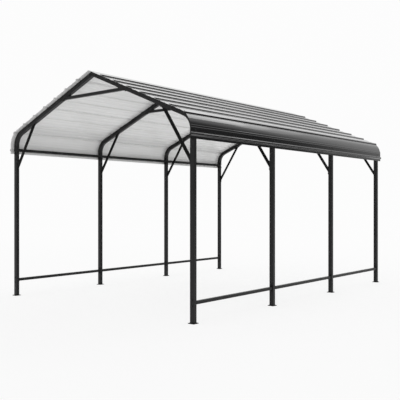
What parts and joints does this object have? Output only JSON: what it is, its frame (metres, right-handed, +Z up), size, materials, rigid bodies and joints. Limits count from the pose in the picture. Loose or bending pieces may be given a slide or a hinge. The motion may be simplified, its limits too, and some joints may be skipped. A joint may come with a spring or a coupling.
{
  "type": "carport",
  "caption": "Open-sided metal carport with bent-tube arches, side rails and a gabled roof of ribbed sheet that curves down over the eaves.",
  "frame": {"origin": "on the ground at the centre of the plan of the whole carport", "axes": "+X to the right seen from the front, +Y from the front end to the rear end, +Z up"},
  "size_m": [3.0312, 4.371, 2.6572],
  "materials": {
    "frame_coat": "satin",
    "roof_sheet": "gloss"
  },
  "bodies": {
    "root": {"front_left_post": "frame_coat", "front_left_eave_bend": "frame_coat", "front_left_rafter": "frame_coat", "front_right_post": "frame_coat", "front_right_eave_bend": "frame_coat", "front_right_rafter": "frame_coat", "front_collar_tie": "frame_coat", "second_left_post": "frame_coat", "second_left_eave_bend": "frame_coat", "second_left_rafter": "frame_coat", "second_right_post": "frame_coat", "second_right_eave_bend": "frame_coat", "second_right_rafter": "frame_coat", "second_collar_tie": "frame_coat", "third_left_post": "frame_coat", "third_left_eave_bend": "frame_coat", "third_left_rafter": "frame_coat", "third_right_post": "frame_coat", "third_right_eave_bend": "frame_coat", "third_right_rafter": "frame_coat", "third_collar_tie": "frame_coat", "rear_left_post": "frame_coat", "rear_left_eave_bend": "frame_coat", "rear_left_rafter": "frame_coat", "rear_right_post": "frame_coat", "rear_right_eave_bend": "frame_coat", "rear_right_rafter": "frame_coat", "rear_collar_tie": "frame_coat", "left_knee_braces": "frame_coat", "left_base_plates": "frame_coat", "left_base_rails": "frame_coat", "left_eave_rails": "frame_coat", "right_knee_braces": "frame_coat", "right_base_plates": "frame_coat", "right_base_rails": "frame_coat", "right_eave_rails": "frame_coat", "brace_end_plates": "frame_coat", "rail_end_plates": "frame_coat", "ridge_sheet": "roof_sheet", "left_upper_sheet": "roof_sheet", "left_lower_sheet": "roof_sheet", "left_eave_sheet": "roof_sheet", "right_upper_sheet": "roof_sheet", "right_lower_sheet": "roof_sheet", "right_eave_sheet": "roof_sheet"}
  },
  "joints": []
}
